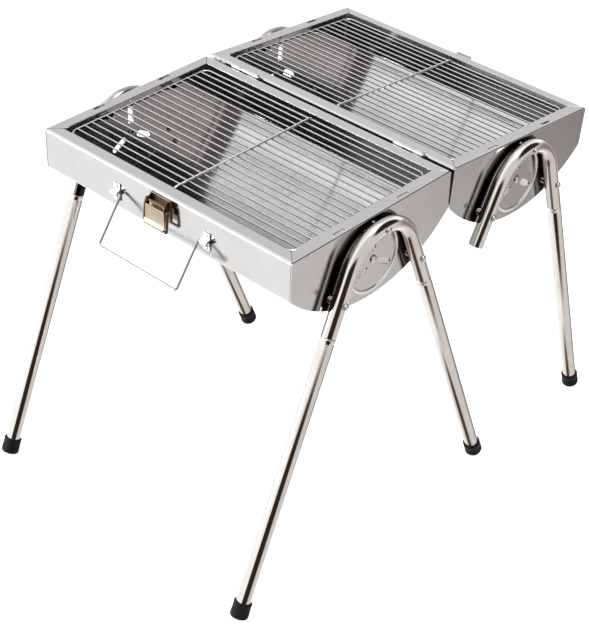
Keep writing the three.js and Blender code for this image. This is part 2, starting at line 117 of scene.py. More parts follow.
# These turn a shell drawn in XY and raised along Z: to YZ and raised along X, and to XZ and raised along Y.
DRAWN_IN_YZ = Matrix(((0, 0, 1, 0), (1, 0, 0, 0), (0, 1, 0, 0), (0, 0, 0, 1)))
DRAWN_IN_XZ = Matrix(((1, 0, 0, 0), (0, 0, 1, 0), (0, 1, 0, 0), (0, 0, 0, 1)))


# ---- shells: a list of corners and a list of faces, in millimetres ----
def merged(*shells):
    corners, faces = [], []
    for more, rows in shells:
        start = len(corners)
        corners += more
        faces += [[start + i for i in row] for row in rows]
    return corners, faces


def moved(shell, matrix):
    corners, faces = shell
    return [matrix @ Vector(c) for c in corners], faces


def facing(shell, end, x, y, z):
    """Points a shell made along +Z outwards along X at one end."""
    turn = Matrix.Rotation(end * math.pi / 2, 4, "Y")
    return moved(shell, Matrix.Translation((end * x, y, z)) @ turn)


def tube(path, radius, sides=16, closed=False, bore=0.0):
    """A round rod or pipe along a list of points."""
    points = [Vector(p) for p in path]
    count = len(points)
    across = None
    frames = []
    for i, point in enumerate(points):
        before = points[i - 1] if closed or i else point
        after = points[(i + 1) % count] if closed or i < count - 1 else point
        along = (after - before).normalized()
        across = along.orthogonal() if across is None else across
        across = (across - along * across.dot(along)).normalized()
        frames.append((point, across, along.cross(across)))
    order = [(f, radius) for f in frames] + ([(f, bore) for f in reversed(frames)] if bore else [])
    corners = []
    for (point, u, v), r in order:
        for k in range(sides):
            a = 2 * math.pi * k / sides
            corners.append(point + r * (math.cos(a) * u + math.sin(a) * v))
    rows = len(order)
    wraps = closed or bool(bore)
    faces = []
    for i in range(rows if wraps else rows - 1):
        j = (i + 1) % rows
        for k in range(sides):
            m = (k + 1) % sides
            faces.append([i * sides + k, i * sides + m, j * sides + m, j * sides + k])
    if not wraps:
        faces.append(list(range(sides))[::-1])
        faces.append(list(range((rows - 1) * sides, rows * sides)))
    return corners, faces


def turned(profile, sides=32, closed=False):
    """A profile of (radius, height) pairs turned about Z."""
    corners, rows = [], []
    for r, z in profile:
        ring = 1 if r == 0 else sides
        rows.append(list(range(len(corners), len(corners) + ring)))
        for k in range(ring):
            a = 2 * math.pi * k / sides
            corners.append(Vector((r * math.cos(a), r * math.sin(a), z)))
    faces = []
    pairs = list(zip(rows, rows[1:] + rows[:1])) if closed else list(zip(rows, rows[1:]))
    for low, high in pairs:
        for k in range(sides):
            m = (k + 1) % sides
            quad = [low[k % len(low)], low[m % len(low)], high[m % len(high)], high[k % len(high)]]
            face = list(dict.fromkeys(quad))
            if len(face) > 2:
                faces.append(face)
    return corners, faces


def prism(outline, low, high):
    """An outline drawn in XY, raised between two heights."""
    n = len(outline)
    corners = [Vector((x, y, z)) for z in (low, high) for x, y in outline]
    sides = [[i, (i + 1) % n, n + (i + 1) % n, n + i] for i in range(n)]
    return corners, sides + [list(range(n))[::-1], list(range(n, 2 * n))]


def pierced(outline, holes, low, high):
    """A flat sheet with holes, drawn in XY, between two heights."""
    curve = bpy.data.curves.new("sheet", "CURVE")
    curve.dimensions = "2D"
    curve.fill_mode = "BOTH"
    curve.extrude = abs(high - low) / 2
    for loop in [outline, *holes]:
        spline = curve.splines.new("POLY")
        spline.points.add(len(loop) - 1)
        for point, (x, y) in zip(spline.points, loop):
            point.co = (x, y, 0, 1)
        spline.use_cyclic_u = True
    holder = bpy.data.objects.new("sheet", curve)
    bpy.context.scene.collection.objects.link(holder)
    mesh = bpy.data.meshes.new_from_object(holder)
    bpy.data.objects.remove(holder)
    bpy.data.curves.remove(curve)
    work = bmesh.new()
    work.from_mesh(mesh)
    bmesh.ops.remove_doubles(work, verts=work.verts, dist=1e-4)
    work.verts.ensure_lookup_table()
    lift = Vector((0, 0, (low + high) / 2))
    shell = [v.co + lift for v in work.verts], [[v.index for v in f.verts] for f in work.faces]
    work.free()
    bpy.data.meshes.remove(mesh)
    return shell


def sliced(shell, heights):
    """Adds edges across a flat sheet at the given values of Y, so that it can be bent there."""
    corners, faces = shell
    mesh = bpy.data.meshes.new("sliced")
    mesh.from_pydata([tuple(c) for c in corners], [], faces)
    work = bmesh.new()
    work.from_mesh(mesh)
    for height in heights:
        bmesh.ops.bisect_plane(work, geom=[*work.verts, *work.edges, *work.faces], dist=1e-5,
                               plane_co=(0, height, 0), plane_no=(0, 1, 0))
    work.verts.ensure_lookup_table()
    shell = [v.co.copy() for v in work.verts], [[v.index for v in f.verts] for f in work.faces]
    work.free()
    bpy.data.meshes.remove(mesh)
    return shell


def arc(cx, cy, radius, start, stop, steps):
    """Points on an arc, its angles in degrees."""
    turns = [math.radians(start + (stop - start) * i / steps) for i in range(steps + 1)]
    return [(cx + radius * math.cos(t), cy + radius * math.sin(t)) for t in turns]


def circle(radius, x=0.0, y=0.0, sides=24):
    return arc(x, y, radius, 0, 360 - 360 / sides, sides - 1)


def bent(points, radius, steps=6):
    """Straight runs joined by round corners."""
    stops = [Vector(p) for p in points]
    path = [stops[0]]
    for before, corner, after in zip(stops, stops[1:], stops[2:]):
        start = corner + (before - corner).normalized() * radius
        stop = corner + (after - corner).normalized() * radius
        for i in range(steps + 1):
            t = i / steps
            path.append(start * (1 - t) ** 2 + corner * 2 * t * (1 - t) + stop * t ** 2)
    return path + [stops[-1]]


def rivet(radius, height, sides=20):
    """A low domed head with a small rim, standing on z = 0."""
    dome = [(radius * 0.9 * math.cos(a), height * (0.25 + 0.75 * math.sin(a)))
            for a in (math.radians(d) for d in range(0, 90, 15))]
    return turned([(0, 0), (radius, 0), (radius, height * 0.2), *dome, (0, height)], sides)


# ---- procedural finishes ----
def add(tree, kind, inputs=None, **settings):
    made = tree.nodes.new(kind)
    for key, value in settings.items():
        setattr(made, key, value)
    for key, value in (inputs or {}).items():
        if isinstance(value, bpy.types.NodeSocket):
            tree.links.new(value, made.inputs[key])
        else:
            made.inputs[key].default_value = value
    return made


def noise(tree, place, scale, detail=4.0, stretch=(1, 1, 1)):
    spot = add(tree, "ShaderNodeMapping", {"Vector": place, "Scale": stretch}).outputs[0]
    made = add(tree, "ShaderNodeTexNoise", {"Vector": spot, "Scale": scale, "Detail": detail,
                                            "Roughness": 0.6})
    return made.outputs["Fac"]


def spread(tree, value, low, high, start=0.3, stop=0.7):
    made = add(tree, "ShaderNodeMapRange", {"Value": value, "From Min": start, "From Max": stop,
                                            "To Min": low, "To Max": high})
    return made.outputs[0]


def blended(tree, amount, first, second):
    made = add(tree, "ShaderNodeMix", data_type="RGBA")
    for index, value in ((0, amount), (6, first), (7, second)):
        if isinstance(value, bpy.types.NodeSocket):
            tree.links.new(value, made.inputs[index])
        else:
            made.inputs[index].default_value = value
    return made.outputs[2]


def rgba(color):
    return (*color, 1.0)


# Near-black colour painted in as shade: behind the arch tubes and under the grate wires.
PAINTED_SHADE = (0.03, 0.022, 0.018, 1)


def metal(name, clean, stained, gloss, dull, grain=(1, 1, 1), lines=0.02, waves=0.0, stain=0.5,
          painted_shade_band=None, painted_underside_shade=False):
    """Bright metal: smudges in its colour and gloss, fine drawn or rolled lines, and slight waves.
    The shade band gives two distances from the middle, in metres, between which painted shade fades out,
    darkening the side that faces the end plate.
    The underside option blackens what faces down, as painted shade."""
    material = bpy.data.materials.new(name)
    material.use_nodes = True
    tree = material.node_tree
    shader = tree.nodes["Principled BSDF"]
    shader.inputs["Metallic"].default_value = 1.0
    place = add(tree, "ShaderNodeTexCoord").outputs["Object"]
    smudge = noise(tree, place, 22.0, 5.0)
    fine = noise(tree, place, 1400.0, 2.0, grain)
    specks = noise(tree, place, 420.0, 3.0)
    amount = spread(tree, smudge, 0.0, stain, 0.42, 0.72)
    color = blended(tree, amount, rgba(clean), rgba(stained))
    spots = spread(tree, specks, 0.0, 0.25, 0.66, 0.8)
    spotted = blended(tree, spots, color, rgba([c * 0.55 for c in stained]))
    # Painted shade: the part of a tube nearest the middle in X, facing the end plate, turns near-black.
    if painted_shade_band:
        x = add(tree, "ShaderNodeSeparateXYZ", {0: place}).outputs[0]
        away = add(tree, "ShaderNodeMath", {0: x}, operation="ABSOLUTE").outputs[0]
        painted_shade_amount = spread(tree, away, 1.0, 0.0, *painted_shade_band)
        spotted = blended(tree, painted_shade_amount, spotted, PAINTED_SHADE)
    # Painted shade: faces that point downwards turn near-black.
    if painted_underside_shade:
        normal = add(tree, "ShaderNodeTexCoord").outputs["Normal"]
        up = add(tree, "ShaderNodeSeparateXYZ", {0: normal}).outputs[2]
        spotted = blended(tree, spread(tree, up, 1.0, 0.0, 0.35, 0.6), spotted, PAINTED_SHADE)
    tree.links.new(spotted, shader.inputs["Base Color"])
    rough = add(tree, "ShaderNodeMath", {0: spread(tree, smudge, gloss, dull, 0.35, 0.7),
                                         1: spread(tree, fine, 0.0, 0.04)}, operation="ADD")
    tree.links.new(rough.outputs[0], shader.inputs["Roughness"])
    bump = add(tree, "ShaderNodeBump", {"Height": fine, "Strength": lines, "Distance": 0.0004})
    if waves:
        slow = noise(tree, place, 9.0, 1.0)
        bump = add(tree, "ShaderNodeBump", {"Height": slow, "Strength": waves, "Distance": 0.003,
                                            "Normal": bump.outputs[0]})
    tree.links.new(bump.outputs[0], shader.inputs["Normal"])
    return material


def rubber(name):
    """Moulded black rubber: matt, faintly grained and dusty."""
    material = bpy.data.materials.new(name)
    material.use_nodes = True
    tree = material.node_tree
    shader = tree.nodes["Principled BSDF"]
    shader.inputs["Specular IOR Level"].default_value = 0.2
    place = add(tree, "ShaderNodeTexCoord").outputs["Object"]
    dust = noise(tree, place, 60.0, 5.0)
    grain = noise(tree, place, 1600.0, 2.0)
    color = blended(tree, spread(tree, dust, 0.0, 1.0, 0.45, 0.75),
                    (0.003, 0.003, 0.0035, 1), (0.010, 0.0095, 0.009, 1))
    tree.links.new(color, shader.inputs["Base Color"])
    tree.links.new(spread(tree, dust, 0.45, 0.8), shader.inputs["Roughness"])
    bump = add(tree, "ShaderNodeBump", {"Height": grain, "Strength": 0.25, "Distance": 0.0003})
    tree.links.new(bump.outputs[0], shader.inputs["Normal"])
    return material


ROLLED = (0.03, 1, 1)  # lines run along X
UPRIGHT = (1, 1, 0.04)  # lines run along Z
CHROME = ((0.74, 0.72, 0.69), (0.62, 0.56, 0.50), 0.04, 0.11, UPRIGHT, 0.03)
PAINTED_SHADE_BEHIND_ARCH = (0.1785, 0.1870)  # painted shade behind the arch tubes fades out between these distances, in metres from the middle of the grill
FINISHES = {
    "body_steel": metal("body_steel", (0.62, 0.615, 0.62), (0.56, 0.535, 0.535), 0.07, 0.14, ROLLED,
                        0.05, 0.05),
    "end_steel": metal("end_steel", (0.60, 0.59, 0.60), (0.53, 0.51, 0.51), 0.06, 0.12, UPRIGHT,
                       0.05, 0.03),
    "chrome_tube": metal("chrome_tube", *CHROME),
    # The arch tubes carry painted shade on their side facing the end plate.
    "arch_tube": metal("arch_tube", *CHROME, painted_shade_band=PAINTED_SHADE_BEHIND_ARCH),
    # The grate wire's downward faces carry painted shade.
    "grate_wire": metal("grate_wire", (0.56, 0.56, 0.56), (0.42, 0.40, 0.39), 0.16, 0.28, lines=0.08,
                        painted_underside_shade=True),
    "grate_crossbar": metal("grate_crossbar", (0.72, 0.72, 0.72), (0.58, 0.56, 0.55), 0.2, 0.32,
                            lines=0.08),
    "handle_wire": metal("handle_wire", (0.46, 0.46, 0.47), (0.36, 0.34, 0.33), 0.10, 0.2, lines=0.05),
    # A lighter, rougher copy of the vent steel: a painted highlight on the vent's rolled rim.
    "rolled_rim_painted_highlight": metal("rolled_rim_painted_highlight", (0.88, 0.87, 0.87), (0.80, 0.78, 0.78), 0.28, 0.4, lines=0.05),
    "saddle_plate": metal("saddle_plate", (0.93, 0.93, 0.93), (0.84, 0.83, 0.82), 0.38, 0.5, lines=0.08),
    "fastener_steel": metal("fastener_steel", (0.66, 0.65, 0.63), (0.48, 0.44, 0.40), 0.12, 0.24,
                            lines=0.06),
    # Dark brown metal: the colour of the pin and wire loop, and painted shade on the lever cheeks and base
    # ears, which are of one piece with the brass face and plate.
    "latch_bronze": metal("latch_bronze", (0.15, 0.095, 0.055), (0.07, 0.045, 0.03), 0.22, 0.38,
                          lines=0.1),
    "latch_brass": metal("latch_brass", (0.50, 0.43, 0.34), (0.30, 0.23, 0.16), 0.2, 0.36, lines=0.1,
                         stain=0.9),
    "foot_rubber": rubber("foot_rubber"),
}


def piece(name, shell, place, body, finish, *stands_for, bevel=0.0, smooth=38):
    """Makes a shell into an object that rides on a body and stands for CAD nodes."""
    corners, faces = shell
    mesh = bpy.data.meshes.new(name)
    mesh.from_pydata([tuple(place @ Vector(c)) for c in corners], [], faces)
    work = bmesh.new()
    work.from_mesh(mesh)
    bmesh.ops.remove_doubles(work, verts=work.verts, dist=1e-7)
    bmesh.ops.recalc_face_normals(work, faces=work.faces)
    work.to_mesh(mesh)
    work.free()
    mesh.shade_smooth()
    mesh.set_sharp_from_angle(angle=math.radians(smooth))
    mesh.materials.append(FINISHES[finish])
    made = bpy.data.objects.new(name, mesh)
    bpy.context.scene.collection.objects.link(made)
    if bevel:
        edge = made.modifiers.new("edges", "BEVEL")
        edge.width = bevel * MM
        edge.segments = 2
        edge.limit_method = "ANGLE"
        edge.angle_limit = math.radians(smooth)
        edge.use_clamp_overlap = True
        weighted = made.modifiers.new("normals", "WEIGHTED_NORMAL")
        weighted.keep_sharp = True
    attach(made, body)
    if stands_for:
        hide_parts(*stands_for)
    return made


# ---- fireboxes ----
def trough(inset):
    """Half of the section below the rim bend, from the lowest point out and up."""
    meet = math.degrees(math.atan2(CREASE_Z - BOTTOM_Z, CREASE_Y))
    return [*arc(0, BOTTOM_Z, BOTTOM_R - inset, -90, meet, 28),
            *arc(CREASE_Y, CREASE_Z, CREASE - inset, meet, 0, 6)[1:]]


def rim_line(inset):
    bend = arc(WIDTH / 2 - BEND, -BEND, BEND - inset, 0, 90, 6)
    return [*trough(inset), *bend, (WIDTH / 2 - FLANGE, -inset)]


def firebox(side):
    """One bent sheet. Each point of its section has its own reach along X, which mitres the flanges."""
    section = []
    for inset in (0, SHEET):
        half = rim_line(inset)
        section.append([(-y, z) for y, z in reversed(half)] + half[1:])
    count = len(section[0])

    def reach(y, z):
        mitre = END - GAP - (WIDTH / 2 - abs(y))
        return min(INSIDE_END, mitre) if z > -BEND else INSIDE_END

    corners = [Vector((way * reach(y, z), side * MIDDLE + y, z))
               for way in (-1, 1) for line in section for y, z in line]

    def index(far, layer, i):
        return (2 * far + layer) * count + i

    faces = []
    for i in range(count - 1):
        for layer in (0, 1):
            faces.append([index(0, layer, i), index(0, layer, i + 1), index(1, layer, i + 1),
                          index(1, layer, i)])
        for far in (0, 1):
            faces.append([index(far, 0, i), index(far, 0, i + 1), index(far, 1, i + 1),
                          index(far, 1, i)])
    for i in (0, count - 1):
        faces.append([index(0, 0, i), index(1, 0, i), index(1, 1, i), index(0, 1, i)])
    return corners, faces


# ---- end plates, pressed from one sheet with the rim flange bent inwards ----
def limb_at(drop):
    bend = math.radians(90 - SPLAY)
    start = ARCH_R * math.cos(bend)
    return ARCH_R * math.sin(bend) + (start + drop) * math.tan(math.radians(SPLAY))


ARCH_BOLTS = {
    "top": (0, ARCH_Z + ARCH_R),
    "outer": (limb_at(LIMB_SCREW_DROP), ARCH_Z - LIMB_SCREW_DROP),
    "inner": (-limb_at(LIMB_SCREW_DROP), ARCH_Z - LIMB_SCREW_DROP),
}


def vent_slot(angle, y, z):
    outline = arc(SLOT_OUT - SLOT_R, 0, SLOT_R, -90, 90, 10) + arc(SLOT_IN + SLOT_R, 0, SLOT_R, 90, 270, 10)
    c, s = math.cos(angle), math.sin(angle)
    return [(y + a * c - b * s, z + a * s + b * c) for a, b in outline]


FOLD = 1.6  # outer radius where the end plate folds into its flange
FOLD_RUN = FOLD * math.pi / 2  # length of the fold along the outside
FLAT_TOP = FOLD_RUN - FOLD  # where the flange starts on the flat sheet
FOLD_STEPS = 6


def end_plate(side, end):
    """Cut out flat, with u across, s up the plate and into the flange, and t inwards, and then folded."""
    corner = [(y, z) for y, z in arc(WIDTH / 2 - BEND, -BEND, BEND, 0, 90, 24) if z < -FOLD]
    half = trough(0) + corner
    for i in range(FOLD_STEPS + 1):
        t = i / FOLD_STEPS
        z = FOLD * (math.sin(t * math.pi / 2) - 1)
        y = WIDTH / 2 - BEND + math.sqrt(BEND ** 2 - (z + BEND) ** 2)
        half.append((y, -FOLD + FOLD_RUN * t))
    half.append((WIDTH / 2 - BEND - GAP, FLAT_TOP + BEND - FOLD))
    half.append((WIDTH / 2 - FLANGE - GAP, FLAT_TOP + FLANGE - FOLD))
    outline = [(-y, s) for y, s in reversed(half)] + half[1:]
    slot_s = FLAT_TOP + RIM_SLOT_INSET - FOLD
    wide, high = RIM_SLOT_LENGTH / 2, RIM_SLOT_WIDTH / 2
    ends = arc(wide - high, 0, high, -90, 90, 6) + arc(high - wide, 0, high, 90, 270, 6)
    rim_slots = [[(spot + a, slot_s + b) for a, b in ends] for spot in RIM_SPOTS]
    vents = [vent_slot(angle, 0, VENT_Z) for angle in VENT_ANGLES]
    screws = [circle(SCREW_R + GAP, y, z, 16) for y, z in [(0, VENT_Z), *ARCH_BOLTS.values()]]
    sheet = pierced(outline, [*rim_slots, *vents, *screws], 0, SHEET)
    cuts = [-FOLD + FOLD_RUN * i / FOLD_STEPS for i in range(FOLD_STEPS + 1)]
    corners, faces = sliced(sheet, cuts)
    formed = []
    for u, s, t in corners:
        if s <= -FOLD:
            x, z = END - t, s
        elif s <= FLAT_TOP:
            a = (s + FOLD) / FOLD
            x, z = END - FOLD + (FOLD - t) * math.cos(a), -FOLD + (FOLD - t) * math.sin(a)
        else:
            x, z = END - FOLD - (s - FLAT_TOP), -t
        formed.append(Vector((end * x, side * MIDDLE + u, z)))
    return formed, faces


def ledges(side, end):
    """Two riveted tabs that hold up the grate."""
    top = GRATE_Z - FRAME_R - GAP
    tip, root = END - LEDGE_REACH, END - SHEET
    bend = LEDGE_HALF - LEDGE_CORNER
    shells = []
    for y in RIM_SPOTS:
        y += side * MIDDLE
        shelf = [(root, -LEDGE_HALF), (root, LEDGE_HALF),
                 *arc(tip + LEDGE_CORNER, bend, LEDGE_CORNER, 90, 180, 5),
                 *arc(tip + LEDGE_CORNER, -bend, LEDGE_CORNER, 180, 270, 5)]
        shells.append(prism([(end * x, y + across) for x, across in shelf], top - SHEET, top))
        skirt = [(-LEDGE_HALF, top - SHEET), (LEDGE_HALF, top - SHEET),
                 *arc(bend, top - LEDGE_DROP, LEDGE_CORNER, 0, -90, 5),
                 *arc(-bend, top - LEDGE_DROP, LEDGE_CORNER, -90, -180, 5)]
        skirt = prism([(y + across, z) for across, z in skirt], end * (root - SHEET), end * root)
        shells.append(moved(skirt, DRAWN_IN_YZ))
        for offset in (-4, 4):
            shells.append(facing(rivet(1.8, 1.0), -end, SHEET - root, y + offset, top - 8))
    return merged(*shells)


BEAD_WIDTH, BEAD_HEIGHT = 4.4, 1.9  # rolled rim of a vent disc


def vent_disc(side, end):
    """A thin slotted shutter, and its rolled rim."""
    near = END + GAP
    half = BEAD_WIDTH / 2
    holes = [*(vent_slot(angle, 0, 0) for angle in VENT_ANGLES), circle(SCREW_R + GAP, sides=16)]
    disc = moved(pierced(circle(VENT_R - half, sides=72), holes, 0, 0.5), DRAWN_IN_YZ)
    disc = ([Vector((end * (near + x), side * MIDDLE + y, VENT_Z + z)) for x, y, z in disc[0]], disc[1])
    roll = []
    for degrees in range(0, 190, 15):
        turn = math.radians(degrees)
        roll.append((VENT_R - half - half * math.cos(turn), 0.2 + (BEAD_HEIGHT - 0.2) * math.sin(turn)))
    roll += [(VENT_R - 0.4, 0), (VENT_R - BEAD_WIDTH + 0.4, 0)]
    return disc, facing(turned(roll, 96, closed=True), end, near, side * MIDDLE, VENT_Z)


def vent_rivet(side, end):
    """A domed head outside, its shank, and the clenched tail inside the end plate."""
    tail, thick = -4.4, 1.2
    shank = turned([(0, tail), (SCREW_R, tail), (SCREW_R, 0), (0, 0)], 16)
    clench = turned([(0, tail), (4, tail), (4, tail + thick), (0, tail + thick)], 24)
    return facing(merged(rivet(4.5, 1.6, 32), shank, clench), end, END + 1.3, side * MIDDLE, VENT_Z)


# ---- arches and their bolts ----
def arch_path():
    bend = 90 - SPLAY
    over = arc(0, 0, ARCH_R, 90 - bend, 90 + bend, 48)
    drop = (ARCH_R * math.cos(math.radians(bend)) + STUB_DROP) / math.cos(math.radians(SPLAY))
    y, z = over[0]
    dy, dz = drop * math.sin(math.radians(SPLAY)), -drop * math.cos(math.radians(SPLAY))
    right = [(y + dy * t, z + dz * t) for t in (1, 0.66, 0.33, 0.05)]
    left = [(-a, b) for a, b in reversed(right)]
    return [*right, *over, *left]


def arch(side, end):
    path = [(end * ARCH_X, side * MIDDLE + y, ARCH_Z + z) for y, z in arch_path()]
    return tube(path, TUBE_R, 40, bore=BORE_R)


HEAD_X = ARCH_X + TUBE_R + GAP


def arch_bolt(side, end, spot):
    """A domed screw through the tube, its spacer against the end plate, and the nut inside."""
    y, z = ARCH_BOLTS[spot]
    reach = HEAD_X - INSIDE_END
    turns = [math.radians(a) for a in range(0, 90, 12)]
    dome = [(3.7 * math.cos(turn), 0.7 + 1.9 * math.sin(turn)) for turn in turns]
    head = turned([(0, -0.2), (3.4, -0.2), (4, 0.1), (4, 0.6), *dome, (0, 2.6)], 28)
    tip = -reach - 3.6
    shank = turned([(0, tip), (1.5, tip), (SCREW_R, tip + 0.5), (SCREW_R, 0), (0, 0)], 16)
    nut = prism(circle(3.8, sides=6), -reach - 2.6, -reach)
    width = 2.8 if spot == "top" else 5.0
    seat = END + STANDOFF - HEAD_X
    spacer = turned([(SCREW_R, seat - STANDOFF), (width, seat - STANDOFF), (width, seat + 0.5),
                     (SCREW_R, seat + 0.5)], 24, closed=True)
    return facing(merged(head, shank, nut, spacer), end, HEAD_X, side * (MIDDLE + y), z)


# ---- legs ----
def leg_place(side, end, out):
    turn = Matrix.Rotation(side * out * math.radians(SPLAY), 4, "X")
    spot = (end * ARCH_X, side * (MIDDLE + out * limb_at(STUB_DROP)), ARCH_Z - STUB_DROP)
    return Matrix.Translation(spot) @ turn


def leg_length(out):
    """The inner legs are longer, because the halves lean towards their far edges."""
    def stand(way, length):
        lean = math.radians(SPLAY - way * TILT)
        y = MIDDLE + way * limb_at(STUB_DROP)
        stub = ((ARCH_Z - STUB_DROP - HINGE_RISE) * math.cos(math.radians(TILT))
                - y * math.sin(math.radians(TILT)))
        return lean, stub - (length + FOOT_BASE) * math.cos(lean) - FOOT_R * math.sin(lean)

    ground = stand(1, OUTER_LEG)[1]
    lean, short = stand(-1, 0)
    return OUTER_LEG if out > 0 else (short - ground) / math.cos(lean)


def leg_tube(length):
    profile = [(PLUG_R - 0.6, PLUG), (PLUG_R, PLUG - 0.8), (PLUG_R, 0.1), (TUBE_R - 0.9, -0.35),
               (TUBE_R - 0.3, -0.7), (TUBE_R, -1.4), (TUBE_R, -4.5), (TUBE_R - 0.35, -5.1),
               (TUBE_R - 0.35, -6.0), (TUBE_R, -6.6), (TUBE_R, -length), (BORE_R, -length),
               (BORE_R, -5), (PLUG_R - 1, -2), (PLUG_R - 1, PLUG)]
    return turned(profile[::-1], 40, closed=True)


def foot(length):
    low = -length - FOOT_BASE
    high = low + FOOT_HEIGHT
    profile = [(0, low + 0.4), (FOOT_R - 4, low + 0.4), (FOOT_R - 3.4, low), (FOOT_R - 1.6, low),
               (FOOT_R - 0.5, low + 0.5), (FOOT_R, low + 1.7), (FOOT_R - 0.15, low + 8),
               (FOOT_R - 0.5, low + 8.5), (FOOT_R - 0.5, low + 9.3), (FOOT_R - 0.2, low + 9.8),
               (FOOT_R - 0.35, high - 3), (FOOT_R - 0.1, high - 2.4), (FOOT_R - 0.2, high - 0.7),
               (FOOT_R - 0.8, high), (TUBE_R + GAP, high), (TUBE_R + GAP, -length - GAP), (0, -length - GAP)]
    return turned(profile, 40)


# ---- grate of round wire ----
def grate(side):
    """The frame with its bars, and the crossbar over them, its ends bent down to the frame."""
    half_x = END - FLANGE - GRATE_GAP - FRAME_R
    half_y = WIDTH / 2 - FLANGE - GRATE_GAP - FRAME_R
    corner = 8
    ring = [(x * (half_x - corner) + dx, y * (half_y - corner) + dy)
            for x, y, start in ((1, 1, 0), (-1, 1, 90), (-1, -1, 180), (1, -1, 270))
            for dx, dy in arc(0, 0, corner, start, start + 90, 8)]
    middle = side * MIDDLE
    shells = [tube([(x, middle + y, GRATE_Z) for x, y in ring], FRAME_R, 14, closed=True)]
    pitch = 2 * half_y / (BARS + 1)
    for i in range(BARS):
        y = middle + (i - (BARS - 1) / 2) * pitch
        level = GRATE_Z + 0.9
        shells.append(tube([(-half_x - 0.8, y, level), (half_x + 0.8, y, level)], BAR_R, 12))
    cross = GRATE_Z + 2.6
    crossbar = tube([(0, middle - half_y + 0.2, cross - 0.9), (0, middle - half_y + 3, cross),
                     (0, middle + half_y - 3, cross), (0, middle + half_y - 0.2, cross - 0.9)], 1.3, 12)
    return merged(*shells), crossbar


# ---- hinges ----
def hinge_leaf(side, end):
    x0 = end * HINGE_X - HINGE_LENGTH / 2
    knuckle = HINGE_LENGTH / 3
    spans = [(0, 1), (2, 3)] if side < 0 else [(1, 2)]
    near, far = side * (HALF_GAP - GAP - 1), side * (HALF_GAP - GAP)
    top = HINGE_RISE - KNUCKLE_R - 0.6
    corner = 3
    plate = [(x0, top), (x0 + HINGE_LENGTH, top),
             *arc(x0 + HINGE_LENGTH - corner, corner - LEAF_DROP, corner, 0, -90, 5),
             *arc(x0 + corner, corner - LEAF_DROP, corner, -90, -180, 5)]
    shells = [moved(prism(plate, near, far), DRAWN_IN_XZ)]
    for a, b in spans:
        start, stop = x0 + a * knuckle + 0.2, x0 + b * knuckle - 0.2
        tab = [(start, top - 1), (stop, top - 1), (stop, HINGE_RISE), (start, HINGE_RISE)]
        shells.append(moved(prism(tab, near, far), DRAWN_IN_XZ))
        shells.append(tube([(start, 0, HINGE_RISE), (stop, 0, HINGE_RISE)], KNUCKLE_R, 24,
                           bore=HINGE_PIN_R + GAP))
    turn = Matrix.Rotation(side * math.pi / 2, 4, "X")
    for x in (x0 + 7, x0 + HINGE_LENGTH / 2, x0 + HINGE_LENGTH - 7):
        head = moved(rivet(1.9, 0.8), Matrix.Translation((x, near, -LEAF_DROP / 2 - 3)) @ turn)
        shells.append(head)
    return merged(*shells)


def hinge_pin(end):
    start = end * HINGE_X - HINGE_LENGTH / 2 - 0.5
    stop = start + HINGE_LENGTH + 1
    head = [(0, -1), (1.5, -1), (2, -0.5), (2, 0.2), (HINGE_PIN_R, 0.3)]
    length = stop - start
    profile = head + [(r, length - z) for r, z in reversed(head)]
    along_x = Matrix.Translation((start, 0, 0)) @ Matrix.Rotation(math.pi / 2, 4, "Y")
    return moved(turned(profile, 24), along_x)


# ---- carry handle ----
def wall_y(out):
    return -OUTER - out


def handle():
    swing = math.radians(HANDLE_SWING)
    y = wall_y(HANDLE_OUT)
    tip = (y - HANDLE_REACH * math.sin(swing), HANDLE_Z - HANDLE_REACH * math.cos(swing))
    end = BRACKET_X + 7
    stops = [(-end, y, HANDLE_Z), (-HANDLE_X, y, HANDLE_Z), (-HANDLE_X, *tip), (HANDLE_X, *tip),
             (HANDLE_X, y, HANDLE_Z), (end, y, HANDLE_Z)]
    return tube(bent(stops, 4, 8), WIRE_R, 18)


def saddle(end):
    """A bright strip bent over the handle wire and riveted above and below it."""
    bore, skin = WIRE_R + GAP, WIRE_R + GAP + 1.2
    near, far = wall_y(GAP), wall_y(GAP + SHEET)
    low, high = HANDLE_Z - BRACKET_TAB, HANDLE_Z + BRACKET_TAB
    centre = wall_y(HANDLE_OUT)
    over = [(far, HANDLE_Z + skin + 0.8), *arc(centre, HANDLE_Z, skin, 78, 282, 12),
            (far, HANDLE_Z - skin - 0.8)]
    under = [(near, HANDLE_Z - bore), *arc(centre, HANDLE_Z, bore, 270, 90, 12), (near, HANDLE_Z + bore)]
    section = [(near, high), (far, high), *over, (far, low), (near, low), *under]
    strip = prism(section, end * BRACKET_X - BRACKET_HALF, end * BRACKET_X + BRACKET_HALF)
    turn = Matrix.Rotation(math.pi / 2, 4, "X")
    heads = [moved(rivet(2.0, 1.1), Matrix.Translation((end * BRACKET_X, far, HANDLE_Z + z)) @ turn)
             for z in (-7, 7)]
    return merged(moved(strip, DRAWN_IN_YZ), *heads)


# ---- draw latch and its keeper ----
def across(outline, *spans):
    """The same outline, drawn in YZ, over each span of X."""
    return merged(*[moved(prism(outline, min(span), max(span)), DRAWN_IN_YZ) for span in spans])


CHEEK = (LATCH_HALF - SHEET, LATCH_HALF)
EAR = (LATCH_HALF - GAP - 2 * SHEET, LATCH_HALF - GAP - SHEET)


def both_sides(span):
    return [span, (-span[1], -span[0])]


def latch_plate():
    plate = [(-LATCH_HALF, FACE_END + 2), *arc(-LATCH_HALF + 2, FACE_END + 2, 2, 180, 270, 4)[1:],
             *arc(LATCH_HALF - 2, FACE_END + 2, 2, 270, 360, 4), (LATCH_HALF, LEVER_Z + 6),
             (-LATCH_HALF, LEVER_Z + 6)]
    return moved(prism(plate, wall_y(GAP + SHEET), wall_y(GAP)), DRAWN_IN_XZ)


